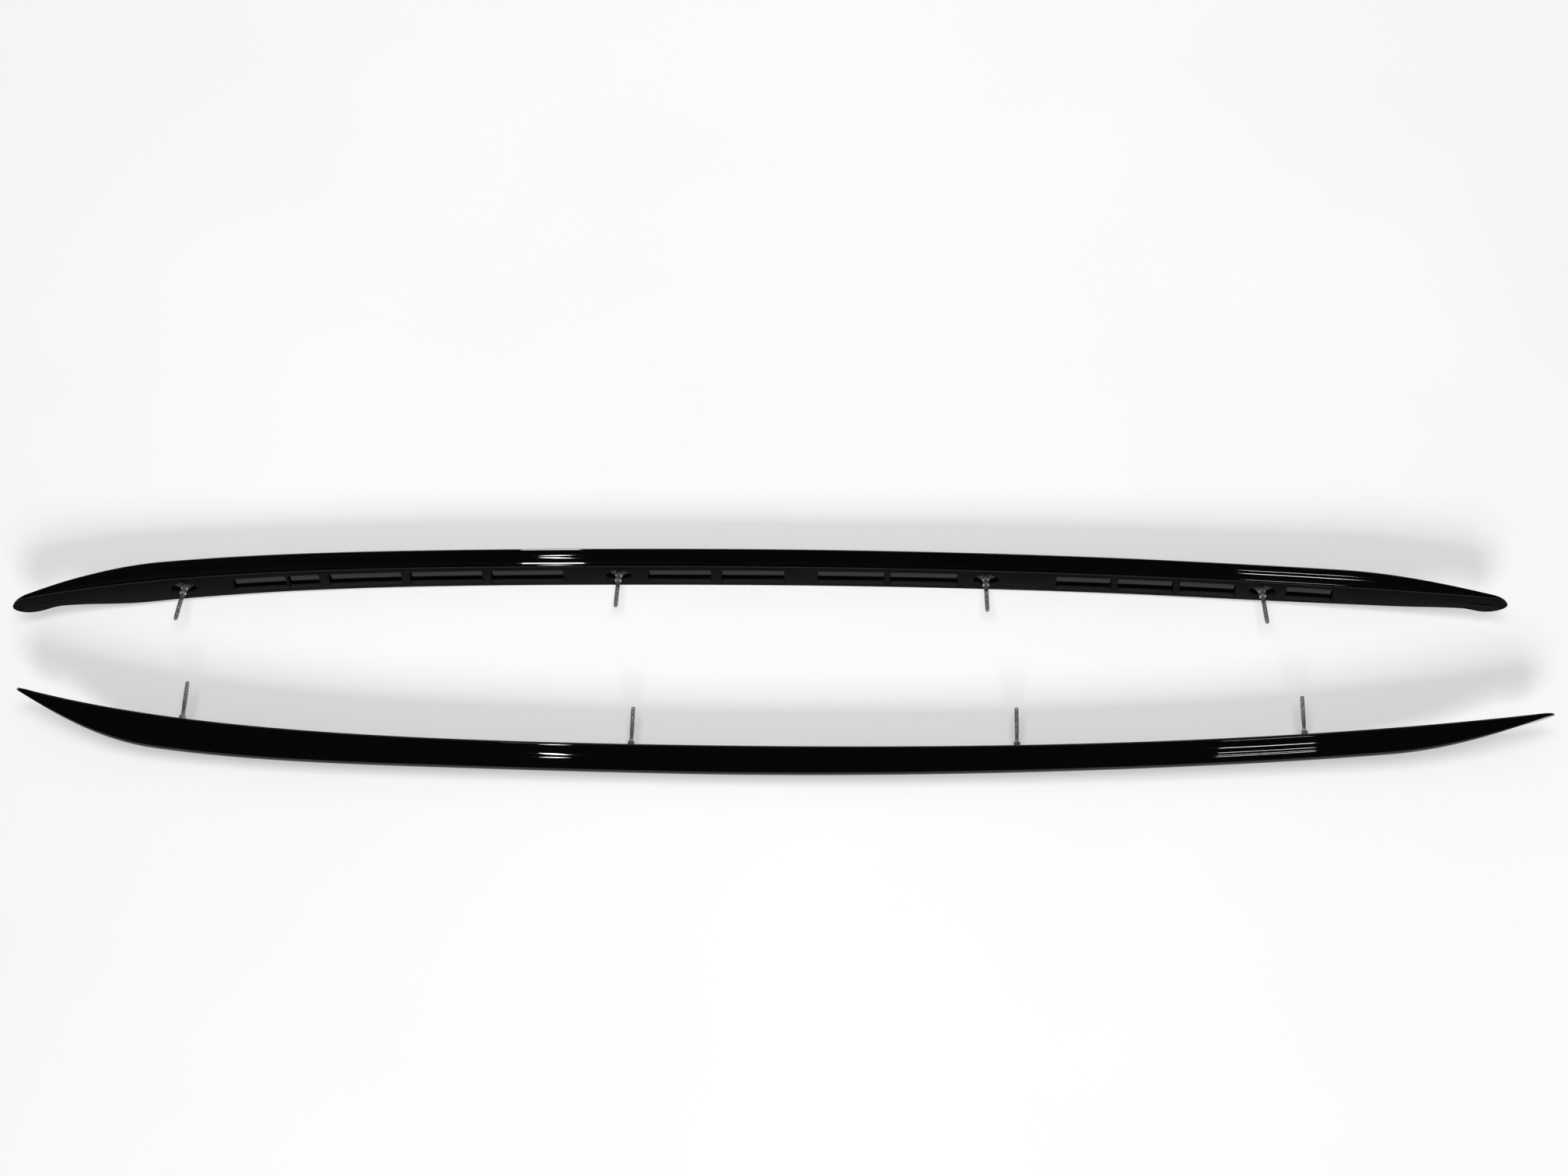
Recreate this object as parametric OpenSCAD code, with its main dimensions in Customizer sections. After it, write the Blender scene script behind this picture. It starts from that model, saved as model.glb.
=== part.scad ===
// Roof side rail pair: two mirrored gloss-black rails for the sides of a car roof, each with a
// moulded base strip and four threaded studs. The pair lies on its outer sides, inner sides up.
//
// Rail frame, as mounted: X runs along the rail with the front at -X, Y points outwards, Z up.
// A section is drawn in (a, v): a is the distance outwards from the base's inner corner, and v is
// the height above the base's lower face. Sections are canted about X, as the roof's edge is.

/* [Rail] */
// overall length of one rail
rail_l = 1880; // [1400:10:2200]
// angle between the base and the plane of the arch
cant = 10.2; // [4:0.1:14]
// height of the base's arch above its two ends
arch_rise = 57.9; // [30:0.1:90]
// place of the arch's highest point, measured from the middle of the rail
arch_peak_x = -150; // [-300:5:100]
// how full the arch is in front of its peak
arch_front_power = 2.5; // [2:0.05:3.2]
// how much fuller the arch gets towards the front tip
arch_front_gain = 0.95; // [0:0.05:1.2]
// how full the arch is behind its peak
arch_rear_power = 2.15; // [2:0.05:3]
// how much fuller the arch gets towards the rear tip
arch_rear_gain = 0.24; // [0:0.02:1]
// how far both ends curve inwards over the roof
bow = 14; // [5:0.5:20]
// place where the rail stands furthest out
bow_peak_x = 80; // [-200:5:200]
// how late the inward curve begins
bow_power = 2.7; // [2:0.1:4]

/* [Rail section] */
// height of the section over the front foot
front_h = 39.8; // [30:0.1:48]
// height of the section in the middle
mid_h = 34.8; // [28:0.1:44]
// height of the section over the rear foot
rear_h = 31.8; // [26:0.1:42]
// radius of the crown
crown_r = 7.2; // [5:0.1:10]
// distance of the crown's centre from the inner side at the front foot
front_crown_in = 9.6; // [7:0.1:13]
// distance of the crown's centre from the inner side in the middle
mid_crown_in = 6; // [4.5:0.1:9]
// distance of the crown's centre from the inner side at the rear foot
rear_crown_in = 4.4; // [3.5:0.1:8]
// depth of the shallow channel along the inner side
channel_d = 1.2; // [0.4:0.1:2]
// thickness of the wall
wall_t = 2.6; // [2:0.1:3.5]
// how far the hollow runs in front of the first stud
hollow_front_past = 26; // [16:1:40]
// how far the hollow runs behind the last stud
hollow_rear_past = 111; // [16:1:130]

/* [Rail ends] */
// length over which the front end falls to the tip
front_taper_l = 180; // [120:5:260]
// length over which the rear end falls to the tip
rear_taper_l = 200; // [120:5:280]
// height left at the tips, as a share of the full height
tip_share = 0.06; // [0.04:0.01:0.12]
// radius of the rounded nose, seen on the base
nose_r = 18; // [12:0.5:26]

/* [Base width] */
// width of the front end pad
front_pad_w = 28; // [24:0.1:34]
// width at the waist behind the front end pad
front_waist_w = 24.6; // [20:0.1:30]
// width of the front foot
front_foot_w = 37.6; // [32:0.1:44]
// width in the middle
mid_w = 35.2; // [28:0.1:40]
// width of the rear foot
rear_foot_w = 33.6; // [28:0.1:40]
// width at the waist before the rear end pad
rear_waist_w = 23.7; // [20:0.1:30]
// width of the rear end pad
rear_pad_w = 26.8; // [22:0.1:32]

/* [Base strip] */
// thickness of the strip
strip_t = 5; // [4:0.1:6]
// thickness of the strip's flange, the part seen from the side
flange_t = 2; // [1.2:0.1:2.6]
// width of the rail's lip, which rests on the flange
lip_w = 2.6; // [2:0.1:3.5]
// bevel along the strip's lower edges
strip_bevel = 0.8; // [0.3:0.1:1.2]
// clearance between the strip and the rail
fit_gap = 0.1; // [0.05:0.01:0.2]
// width of the windows
window_w = 20.5; // [14:0.5:22]
// corner radius of the windows
window_r = 1.6; // [0.8:0.1:3]
// length of the opening round a stud
eye_l = 34; // [28:0.5:38]
// width of the opening round a stud
eye_w = 21.5; // [18:0.5:23]

/* [Studs] */
// thread diameter of a stud
stud_d = 6; // [5:0.5:8]
// distance from the base's lower face to the tip of a stud
stud_out = 52.6; // [40:0.1:65]
// diameter of the plain neck next to the collar
neck_d = 5.2; // [4:0.1:5.8]
// length of the neck
neck_l = 6; // [3:0.5:10]
// width across the flats of the stud's hexagon collar
collar_af = 8; // [7:0.1:9]
// length of the hexagon collar
collar_l = 5; // [3:0.5:7]
// diameter of the threaded insert's flange
insert_flange_d = 14; // [12:0.5:16]
// thickness of the insert's flange
insert_flange_t = 1.3; // [0.8:0.1:2]
// outside diameter of the insert's sleeve
insert_d = 9; // [8:0.5:11]
// length of the insert's sleeve
insert_l = 13; // [9:0.5:16]

/* [Layout] */
// distance between the two rails at their tips
tip_gap = 138.2; // [120:0.5:220]
// how far the left rail lies behind the right one
stagger = 32; // [0:1:60]
// angle by which each rail is turned from parallel
toe = 0.52; // [0:0.02:1]

/* [Hidden] */
$fn = 48;

half_l = rail_l / 2;
k_l = rail_l / 1880;

// stud places along the rail, and the strip's windows as bays: start, count, length, rib
stud_x = k_l * [-729, -170.5, 298.5, 644];
bays = [[-666, 1, 67.5, 0], [-595.5, 1, 40, 0], [-543.5, 3, 93.2, 11], [-132.5, 2, 80.5, 13.5],
        [84.5, 2, 85, 8], [387.5, 3, 69.2, 8], [673.5, 1, 57, 0]];
// shallow sinks in the strip's lower face: place, share of the width, diameter, depth
sinks = [[-880, 0.5, 6, 1.6], [-692, 0.45, 5, 1.6], [62.5, 0.5, 8, 0.5], [740, 0.4, 4, 1.4]];
// blind slots in the end pads: place, length, width, depth
end_slots = [[-909, 18, 3.5, 1.2], [908, 28, 6, 1.6]];
// square sink behind the third stud
square_sink = [369, 6, 1.2];

// stations along the rail: the rounded nose, the falling end, then the long middle
nose_d = [for (i = [0 : 6]) nose_r * (1 - cos(15 * i))];
end_d = [for (j = [1 : 12]) nose_r + 192 * pow(j / 12, 1.4)];
rim_d = concat(nose_d, end_d);
rim_n = len(rim_d);
mid_n = 20;
mid_l = rail_l - 2 * rim_d[rim_n - 1];
stations = concat([for (d = rim_d) d - half_l],
                  [for (i = [1 : mid_n - 1]) mid_l * (i / mid_n - 0.5)],
                  [for (i = [rim_n - 1 : -1 : 0]) half_l - rim_d[i]]);

// smooth curve through knots [x, value]
function span_of(t, x, i = 0) = i >= len(t) - 2 || x < t[i + 1][0] ? i : span_of(t, x, i + 1);
function slope_at(t, i) = i == 0 || i == len(t) - 1 ? 0
    : (t[i + 1][1] - t[i - 1][1]) / (t[i + 1][0] - t[i - 1][0]);
function smooth(t, x) =
    let (i = span_of(t, x), h = t[i + 1][0] - t[i][0], s = (x - t[i][0]) / h)
    (1 + 2 * s) * pow(1 - s, 2) * t[i][1] + s * pow(1 - s, 2) * h * slope_at(t, i)
    + s * s * (3 - 2 * s) * t[i + 1][1] + s * s * (s - 1) * h * slope_at(t, i + 1);

width_knots = [[-half_l, front_pad_w - 3], [28 - half_l, front_pad_w], [55 - half_l, front_waist_w],
               [140 - half_l, front_foot_w - 0.8], [200 - half_l, front_foot_w],
               [375 - half_l, (front_foot_w + 2 * mid_w) / 3], [530 - half_l, mid_w], [0, mid_w - 0.5],
               [half_l - 490, (mid_w + rear_foot_w) / 2 - 0.8], [half_l - 290, rear_foot_w],
               [half_l - 134, rear_foot_w - 4.4], [half_l - 51, rear_waist_w],
               [half_l - 27, rear_pad_w], [half_l, rear_pad_w - 4]];
height_knots = [[-half_l, front_h], [-720 * k_l, front_h], [-380 * k_l, mid_h], [0, mid_h],
                [450 * k_l, rear_h + 0.5], [650 * k_l, rear_h], [half_l, rear_h]];
crown_knots = [[-half_l, 0.62 * front_crown_in], [-885 * k_l, 0.66 * front_crown_in],
               [-840 * k_l, 0.86 * front_crown_in], [-700 * k_l, front_crown_in],
               [-350 * k_l, mid_crown_in], [0, mid_crown_in],
               [450 * k_l, rear_crown_in - 0.5], [650 * k_l, rear_crown_in], [half_l, rear_crown_in - 0.6]];

// distance from the nearer tip, and the fall of the section towards it
function tip_d(x) = half_l - abs(x);
function fall(x) = let (l = x < 0 ? front_taper_l : rear_taper_l)
    tip_share + (1 - tip_share) * sin(90 * min(1, tip_d(x) / l));
// how much the nose closes the width: 1 behind it, and a blunt 0.2 at the very tip
function nose(x) = let (s = 1 - min(1, tip_d(x) / nose_r)) max(0.2, sqrt(1 - s * s));

// path of the base's inner corner: height, and how far it lies inwards
function arch_z(x) = let (front = x < arch_peak_x, run = half_l + (front ? 1 : -1) * arch_peak_x,
        t = min(1, abs(x - arch_peak_x) / run),
        p = front ? arch_front_power + arch_front_gain * t : arch_rear_power + arch_rear_gain * t)
    arch_rise * (1 - pow(t, p));
function arch_slope(x) = atan((arch_z(x + 5) - arch_z(x - 5)) / 10);
function bow_y(x) = let (run = half_l + (x < bow_peak_x ? 1 : -1) * bow_peak_x)
    bow * pow(abs(x - bow_peak_x) / run, bow_power);

function base_w(x) = smooth(width_knots, x);
function rail_h(x) = smooth(height_knots, x) * fall(x);
function strip_h(x) = min(strip_t, 0.4 * rail_h(x));

// a section point in the rail frame, with the nose closed about the middle of the base
function place(x, p) = let (m = base_w(x) / 2, a = m + (p[0] - m) * nose(x))
    [x, a * cos(cant) + p[1] * sin(cant) - bow_y(x), arch_z(x) + p[1] * cos(cant) - a * sin(cant)];

// inner side as shares [height, offset of the channel]: lip, channel, crease, shoulder
inner_side = [[0, 0], [0.08, -0.35], [0.2, 0.45], [0.35, 1], [0.5, 0.85], [0.62, 0.1], [0.8, -0.15]];

// outline of the rail's outside from the inner lip over the crown to the outer lip. The flat outer
// side ends above side_v, and a curve from there meets the crown on its tangent; t insets it all.
function rail_outline(x, t, foot, side_v) =
    let (w = base_w(x), h = rail_h(x), r = crown_r * fall(x), c = smooth(crown_knots, x) * fall(x),
         vc = h - r, q = max(0.3, r - t), k = channel_d * fall(x), lean = tan(cant),
         va = max(side_v, foot + 0.32 * (vc - foot)), wa = w - t - va * lean,
         vk = va + 0.67 * (vc - va), wk = w - t - vk * lean,
         top = atan2(vk - vc, wk - c) + acos(q / norm([wk - c, vk - vc])),
         p0 = [c + q * cos(top), vc + q * sin(top)])
    concat([for (p = inner_side) [(c - r) * p[0] + t + k * p[1], foot + p[0] * (vc - foot)]],
           [for (i = [0 : 5]) let (g = 180 + (top - 180) * i / 5) [c + q * cos(g), vc + q * sin(g)]],
           [for (i = [1 : 6]) let (b = i / 6) pow(1 - b, 2) * p0 + 2 * b * (1 - b) * [wk, vk]
               + b * b * [wa, va]],
           [[w - t - foot * lean, foot]]);

function rail_section(x) =
    let (w = base_w(x), ts = strip_h(x), k = ts / strip_t, foot = flange_t * k + fit_gap,
         lip = lip_w * k, seat = ts + fit_gap)
    concat(rail_outline(x, 0, foot, seat + 0.15 * rail_h(x)),
           [[w - lip, foot], [w - lip, seat], [lip, seat], [lip, foot]]);

function hollow_section(x) = rail_outline(x, wall_t, strip_t + fit_gap + wall_t + 0.4, 0);

function strip_section(x) =
    let (w = base_w(x), ts = strip_h(x), k = ts / strip_t, tf = flange_t * k, e = strip_bevel * k,
         lip = lip_w * k + fit_gap, lean = tan(cant))
    [[e, 0], [0, e], [0, tf], [lip, tf], [lip, ts], [w - lip, ts], [w - lip, tf],
     [w - tf * lean, tf], [w - e * lean, e], [w - e, 0]];

// faces that close the ends of a skin: each is seen whole from its first point
rail_caps = [[22, 23, 0, 1], concat([22], [for (j = [1 : 18]) j], [21]), [21, 18, 19, 20]];
hollow_caps = [concat([19], [for (j = [0 : 18]) j])];
strip_caps = [[3, 4, 5, 6], [0, 1, 2, 3, 6, 7, 8, 9]];

// closed skin through a list of sections, each a list of points in the rail frame
module loft(rings, caps) {
    n = len(rings[0]);
    m = len(rings);
    polyhedron(
        points = [for (r = rings) each r],
        faces = concat(
            [for (c = caps) let (k = len(c)) [for (i = [0 : k - 1]) c[(k - i) % k]]],
            [for (i = [0 : m - 2]) for (j = [0 : n - 1]) let (k = (j + 1) % n)
                each [[i * n + j, i * n + k, (i + 1) * n + j],
                      [i * n + k, (i + 1) * n + k, (i + 1) * n + j]]],
            [for (c = caps) [for (j = c) (m - 1) * n + j]]));
}

// height of the laid rail's axis frame over the ground: its outermost point touches
lift = max([for (x = stations) for (p = rail_section(x)) place(x, p)[1]]);

// lays a rail on its outer side; side 1 is the right-hand rail, side -1 its mirror image
module lay(side) {
    translate([-side * stagger / 2, side * tip_gap / 2, lift])
        rotate([0, 0, side * toe]) mirror([0, side < 0 ? 1 : 0, 0]) rotate([-90, 0, 0]) children();
}

// section frame at a place along the rail: x along it, y outwards from the inner corner, z up
module at_base(x, slope = 0) {
    translate(place(x, [0, 0])) rotate([-cant, 0, 0]) rotate([0, -slope, 0]) children();
}

// the same, in the middle of the base's width
module at_stud(x) {
    at_base(x) translate([0, base_w(x) / 2, 0]) children();
}

// the same, square to the base there: place along a standard rail, share of the base's width
module at_mid(x, share = 0.5) {
    at_base(k_l * x, arch_slope(k_l * x)) translate([0, share * base_w(k_l * x), 0]) children();
}

seat_v = strip_t + fit_gap + 1;

module rail_body() {
    from = stud_x[0] - hollow_front_past;
    to = stud_x[3] + hollow_rear_past;
    hollow = concat([from], [for (x = stations) if (x > from + 3 && x < to - 3) x], [to]);
    color([0.02, 0.02, 0.025]) difference() {
        loft([for (x = stations) [for (p = rail_section(x)) place(x, p)]], rail_caps);
        loft([for (x = hollow) [for (p = hollow_section(x)) place(x, p)]], hollow_caps);
        // flat seats and bores for the threaded inserts
        for (x = stud_x) at_stud(x) {
            translate([0, 0, strip_t - 2]) cylinder(d = insert_flange_d + 1, h = seat_v - strip_t + 2);
            cylinder(d = insert_d, h = seat_v + insert_l + 2);
        }
    }
}

// lens-shaped opening round a stud, between two arcs
module eye() {
    r = (eye_l * eye_l + eye_w * eye_w) / (4 * eye_w);
    g = asin(eye_l / 2 / r);
    translate([0, 0, -8]) linear_extrude(24) polygon([
        for (s = [1, -1], i = [-5 : 4]) s * [-r * sin(g * i / 5), r * cos(g * i / 5) - r + eye_w / 2]]);
}

// straight cutter with an outline of rounded corners, from below the base up to height h
module slot(l, w, r, h) {
    translate([0, 0, -8]) linear_extrude(8 + h) polygon([
        for (q = [0 : 3], g = [0 : 30 : 90])
            let (sx = q == 0 || q == 3 ? 1 : -1, sy = q < 2 ? 1 : -1)
            [sx * (l / 2 - r), sy * (w / 2 - r)] + r * [cos(90 * q + g), sin(90 * q + g)]]);
}

module base_strip() {
    color([0.12, 0.12, 0.12]) difference() {
        loft([for (x = stations) [for (p = strip_section(x)) place(x, p)]], strip_caps);
        for (b = bays) for (i = [0 : b[1] - 1])
            at_mid(b[0] + b[2] / 2 + i * (b[2] + b[3])) slot(k_l * b[2], window_w, window_r, 16);
        for (x = stud_x) at_stud(x) eye();
        for (s = sinks) at_mid(s[0], s[1]) translate([0, 0, -3]) cylinder(d = s[2], h = 3 + s[3], $fn = 12);
        for (s = end_slots) at_mid(s[0]) slot(s[1], s[2], s[2] / 2 - 0.01, s[3]);
        at_mid(square_sink[0]) slot(square_sink[1], square_sink[1], 0.5, square_sink[2]);
    }
}

// flanged threaded insert, pressed into the rail's underside
module insert(x) {
    color([0.72, 0.72, 0.70]) at_stud(x) translate([0, 0, seat_v]) difference() {
        union() {
            translate([0, 0, -insert_flange_t]) cylinder(d = insert_flange_d, h = insert_flange_t);
            cylinder(d = insert_d, h = insert_l);
        }
        translate([0, 0, -insert_flange_t - 1]) cylinder(d = stud_d, h = insert_l + insert_flange_t + 2);
    }
}

// stud with a hexagon collar, a plain neck and a thread with a rounded tip
module stud(x) {
    top = seat_v + insert_l - 1;
    collar_v = seat_v - insert_flange_t;
    neck_v = collar_v - collar_l;
    thread_v = neck_v - neck_l;
    r = stud_d / 2;
    color([0.78, 0.78, 0.76]) at_stud(x) {
        rotate_extrude() polygon(concat(
            [[0, top], [r - 0.6, top], [r, top - 0.6], [r, collar_v], [r, neck_v],
             [neck_d / 2, neck_v - 0.4], [neck_d / 2, thread_v + 0.8], [r, thread_v]],
            [for (g = [0 : 15 : 90]) [r * cos(g), -stud_out + 0.8 * r * (1 - sin(g))]]));
        translate([0, 0, neck_v]) cylinder(d = collar_af / cos(30), h = collar_l, $fn = 6);
    }
}

lay(1) rail_body();  // right_rail
lay(1) base_strip();  // right_base_strip
lay(1) insert(stud_x[0]);  // right_insert_1
lay(1) insert(stud_x[1]);  // right_insert_2
lay(1) insert(stud_x[2]);  // right_insert_3
lay(1) insert(stud_x[3]);  // right_insert_4
lay(1) stud(stud_x[0]);  // right_stud_1
lay(1) stud(stud_x[1]);  // right_stud_2
lay(1) stud(stud_x[2]);  // right_stud_3
lay(1) stud(stud_x[3]);  // right_stud_4
lay(-1) rail_body();  // left_rail
lay(-1) base_strip();  // left_base_strip
lay(-1) insert(stud_x[0]);  // left_insert_1
lay(-1) insert(stud_x[1]);  // left_insert_2
lay(-1) insert(stud_x[2]);  // left_insert_3
lay(-1) insert(stud_x[3]);  // left_insert_4
lay(-1) stud(stud_x[0]);  // left_stud_1
lay(-1) stud(stud_x[1]);  // left_stud_2
lay(-1) stud(stud_x[2]);  // left_stud_3
lay(-1) stud(stud_x[3]);  // left_stud_4
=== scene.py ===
"""Roof side rail pair: gloss black rails, grained base strips and zinc studs on a pale floor."""

import math

import bpy
from mathutils import Matrix, Vector


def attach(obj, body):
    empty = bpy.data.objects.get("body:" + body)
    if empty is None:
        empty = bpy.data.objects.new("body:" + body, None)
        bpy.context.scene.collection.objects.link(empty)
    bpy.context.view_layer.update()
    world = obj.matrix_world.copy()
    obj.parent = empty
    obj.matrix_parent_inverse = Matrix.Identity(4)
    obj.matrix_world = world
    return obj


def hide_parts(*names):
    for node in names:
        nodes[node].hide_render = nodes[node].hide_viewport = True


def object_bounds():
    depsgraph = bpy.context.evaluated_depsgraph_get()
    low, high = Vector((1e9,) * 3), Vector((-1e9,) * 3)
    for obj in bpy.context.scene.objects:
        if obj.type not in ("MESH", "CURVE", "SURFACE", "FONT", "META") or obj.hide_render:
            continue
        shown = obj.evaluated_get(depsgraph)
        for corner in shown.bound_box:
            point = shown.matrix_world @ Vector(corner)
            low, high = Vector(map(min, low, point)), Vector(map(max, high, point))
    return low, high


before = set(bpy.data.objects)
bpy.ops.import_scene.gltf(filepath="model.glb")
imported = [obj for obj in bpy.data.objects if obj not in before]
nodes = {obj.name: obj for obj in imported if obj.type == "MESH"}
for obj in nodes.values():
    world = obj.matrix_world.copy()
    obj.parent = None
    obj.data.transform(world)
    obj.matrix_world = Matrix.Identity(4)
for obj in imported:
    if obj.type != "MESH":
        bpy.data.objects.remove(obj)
cad_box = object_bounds()
MM = 0.001

# camera, in millimetres: place, axes and focal length in pixels of the 2016 pixel wide picture
EYE = (135.8, -1216.2, 2225.7)
EYE_RIGHT = (0.99906, 0.02747, -0.0334)
EYE_UP = (-0.0064, 0.85779, 0.51395)
EYE_AHEAD = (-0.04277, 0.51326, -0.85717)
PICTURE_W = 2016
FOCAL_PX = 2600
SENSOR_W = 36
NEAREST, FURTHEST = 0.05, 60  # in metres


def add_camera():
    """The photograph's viewpoint, fitted to the edges of both rails."""
    data = bpy.data.cameras.new("camera")
    data.sensor_width = SENSOR_W
    data.lens = SENSOR_W * FOCAL_PX / PICTURE_W
    data.clip_start, data.clip_end = NEAREST, FURTHEST
    camera = bpy.data.objects.new("camera", data)
    bpy.context.scene.collection.objects.link(camera)
    turn = Matrix((EYE_RIGHT, EYE_UP, [-v for v in EYE_AHEAD])).transposed().normalized()
    camera.matrix_world = Matrix.Translation(Vector(EYE) * MM) @ turn.to_4x4()
    bpy.context.scene.camera = camera
    bpy.context.scene.view_settings.view_transform = "Standard"


add_camera()

# the rails, in millimetres and in places from the middle of a rail, as in the part's source
RAIL_L = 1880
HALF = RAIL_L / 2
CANT = math.radians(10.2)
ARCH_RISE, ARCH_PEAK_X = 57.9, -150
ARCH_FRONT, ARCH_REAR = (2.5, 0.95), (2.15, 0.24)
BOW, BOW_PEAK_X, BOW_POWER = 14, 80, 2.7
CROWN_R, CHANNEL_D = 7.2, 1.2
FRONT_TAPER, REAR_TAPER, TIP_SHARE = 180, 200, 0.06
NOSE_R, LEAST_NOSE = 18, 0.2
STRIP_T, FLANGE_T, LIP_W, STRIP_BEVEL, FIT_GAP = 5, 2, 2.6, 0.8, 0.1
STRIP_SHARE = 0.4  # the most of a thin end's height that the strip takes
WINDOW_W, WINDOW_R, EYE_L, EYE_W = 20.5, 1.6, 34, 21.5
STUD_R, STUD_OUT = 3, 52.6
COLLAR_AF, COLLAR_L, FLANGE_D, INSERT_T, INSERT_L = 8, 5, 14, 1.3, 13
TIP_GAP, STAGGER, TOE = 138.2, 32, math.radians(0.52)
LIFT = 34.1755  # of a laid rail's base over the floor
STUD_X = (-729, -170.5, 298.5, 644)
# openings of the strip. Bays of windows: start, count, length and rib. Round sinks: place, share of
# the width, diameter and depth. End slots: place, length, width and depth. Square sink: place, size
# and depth.
BAYS = ((-666, 1, 67.5, 0), (-595.5, 1, 40, 0), (-543.5, 3, 93.2, 11), (-132.5, 2, 80.5, 13.5),
        (84.5, 2, 85, 8), (387.5, 3, 69.2, 8), (673.5, 1, 57, 0))
SINKS = ((-880, 0.5, 6, 1.6), (-692, 0.45, 5, 1.6), (62.5, 0.5, 8, 0.5), (740, 0.4, 4, 1.4))
END_SLOTS = ((-909, 18, 3.5, 1.2), (908, 28, 6, 1.6))
SQUARE_SINK = (369, 6, 1.2)
SEAT_D = 1
SEAT_V = STRIP_T + FIT_GAP + SEAT_D
CHANNEL_W = 23  # of the shallow channel in the underside, as deep as the seats
# place along the rail, and the base's width, the rail's height and the crown's centre there
WIDTHS = ((-HALF, 25), (28 - HALF, 28), (55 - HALF, 24.6), (140 - HALF, 36.8), (200 - HALF, 37.6),
          (375 - HALF, 36), (530 - HALF, 35.2), (0, 34.7), (HALF - 490, 33.6), (HALF - 290, 33.6),
          (HALF - 134, 29.2), (HALF - 51, 23.7), (HALF - 27, 26.8), (HALF, 22.8))
HEIGHTS = ((-HALF, 39.8), (-720, 39.8), (-380, 34.8), (0, 34.8), (450, 32.3), (650, 31.8),
           (HALF, 31.8))
CROWNS = ((-HALF, 5.952), (-885, 6.336), (-840, 8.256), (-700, 9.6), (-350, 6), (0, 6), (450, 3.9),
          (650, 4.4), (HALF, 3.8))


def smooth(knots, x):
    """Smooth curve through knots (x, value)."""
    i = 0
    while i < len(knots) - 2 and x >= knots[i + 1][0]:
        i += 1

    def slope(k):
        if k in (0, len(knots) - 1):
            return 0
        return (knots[k + 1][1] - knots[k - 1][1]) / (knots[k + 1][0] - knots[k - 1][0])

    h = knots[i + 1][0] - knots[i][0]
    s = (x - knots[i][0]) / h
    return ((1 + 2 * s) * (1 - s) ** 2 * knots[i][1] + s * (1 - s) ** 2 * h * slope(i)
            + s * s * (3 - 2 * s) * knots[i + 1][1] + s * s * (s - 1) * h * slope(i + 1))


def tip_d(x):
    """Distance to the nearer tip."""
    return HALF - abs(x)


def fall(x):
    """Share of the full height: 1 along the middle, sinking to the thin tips."""
    taper = FRONT_TAPER if x < 0 else REAR_TAPER
    return TIP_SHARE + (1 - TIP_SHARE) * math.sin(math.pi / 2 * min(1, tip_d(x) / taper))


def nose(x):
    """Share of the full width, rounded off at the tips."""
    s = 1 - min(1, tip_d(x) / NOSE_R)
    return max(LEAST_NOSE, math.sqrt(max(0, 1 - s * s)))


def arch_z(x):
    """Height of the base's arch, fuller at the rear than at the front."""
    front = x < ARCH_PEAK_X
    t = min(1, abs(x - ARCH_PEAK_X) / (HALF + (ARCH_PEAK_X if front else -ARCH_PEAK_X)))
    power, gain = ARCH_FRONT if front else ARCH_REAR
    return ARCH_RISE * (1 - t ** (power + gain * t))


def bow_y(x):
    """Inward bow, growing towards both ends."""
    run = HALF + (BOW_PEAK_X if x < BOW_PEAK_X else -BOW_PEAK_X)
    return BOW * (abs(x - BOW_PEAK_X) / run) ** BOW_POWER


def base_w(x):
    """Width of the base, without the rounding of the tips."""
    return smooth(WIDTHS, x)


def rail_h(x):
    """Height of the section, tips included."""
    return smooth(HEIGHTS, x) * fall(x)


def place(x, a, v):
    """A section point (outwards from the base's inner corner, height) in the rail's own frame."""
    m = base_w(x) / 2
    a = m + (a - m) * nose(x)
    return Vector((x, a * math.cos(CANT) + v * math.sin(CANT) - bow_y(x),
                   arch_z(x) + v * math.cos(CANT) - a * math.sin(CANT)))


def laying(side):
    """Lays a rail on its outer side; 1 is the right-hand rail, -1 its mirror image."""
    return (Matrix.Translation((-side * STAGGER / 2, side * TIP_GAP / 2, LIFT))
            @ Matrix.Rotation(side * TOE, 4, "Z") @ Matrix.Diagonal((1, side, 1, 1))
            @ Matrix.Rotation(-math.pi / 2, 4, "X"))


SLOPE_STEP = 5  # to either side of a place, to find the arch's slope there


def at_base(x, share=0.5, tilted=True):
    """Frame on the base's lower face: x along the rail, y outwards, z up into the rail."""
    rise = arch_z(x + SLOPE_STEP) - arch_z(x - SLOPE_STEP)
    slope = math.atan(rise / (2 * SLOPE_STEP)) if tilted else 0
    return (Matrix.Translation(place(x, 0, 0)) @ Matrix.Rotation(-CANT, 4, "X")
            @ Matrix.Rotation(-slope, 4, "Y") @ Matrix.Translation((0, share * base_w(x), 0)))


NOSE_STEPS, END_STEPS, MIDDLE_STEPS = 12, 22, 64
END_RUN, END_CROWDING = 192, 1.4  # past the nose: the length stepped finely, and how unevenly


def stations():
    """Places along the rail: close together at the rounded noses and falling ends."""
    near = [NOSE_R * (1 - math.cos(math.radians(90 / NOSE_STEPS * i)))
            for i in range(NOSE_STEPS + 1)]
    near += [NOSE_R + END_RUN * (j / END_STEPS) ** END_CROWDING for j in range(1, END_STEPS + 1)]
    middle = RAIL_L - 2 * near[-1]
    return ([d - HALF for d in near]
            + [middle * (i / MIDDLE_STEPS - 0.5) for i in range(1, MIDDLE_STEPS)]
            + [HALF - d for d in reversed(near)])


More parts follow.
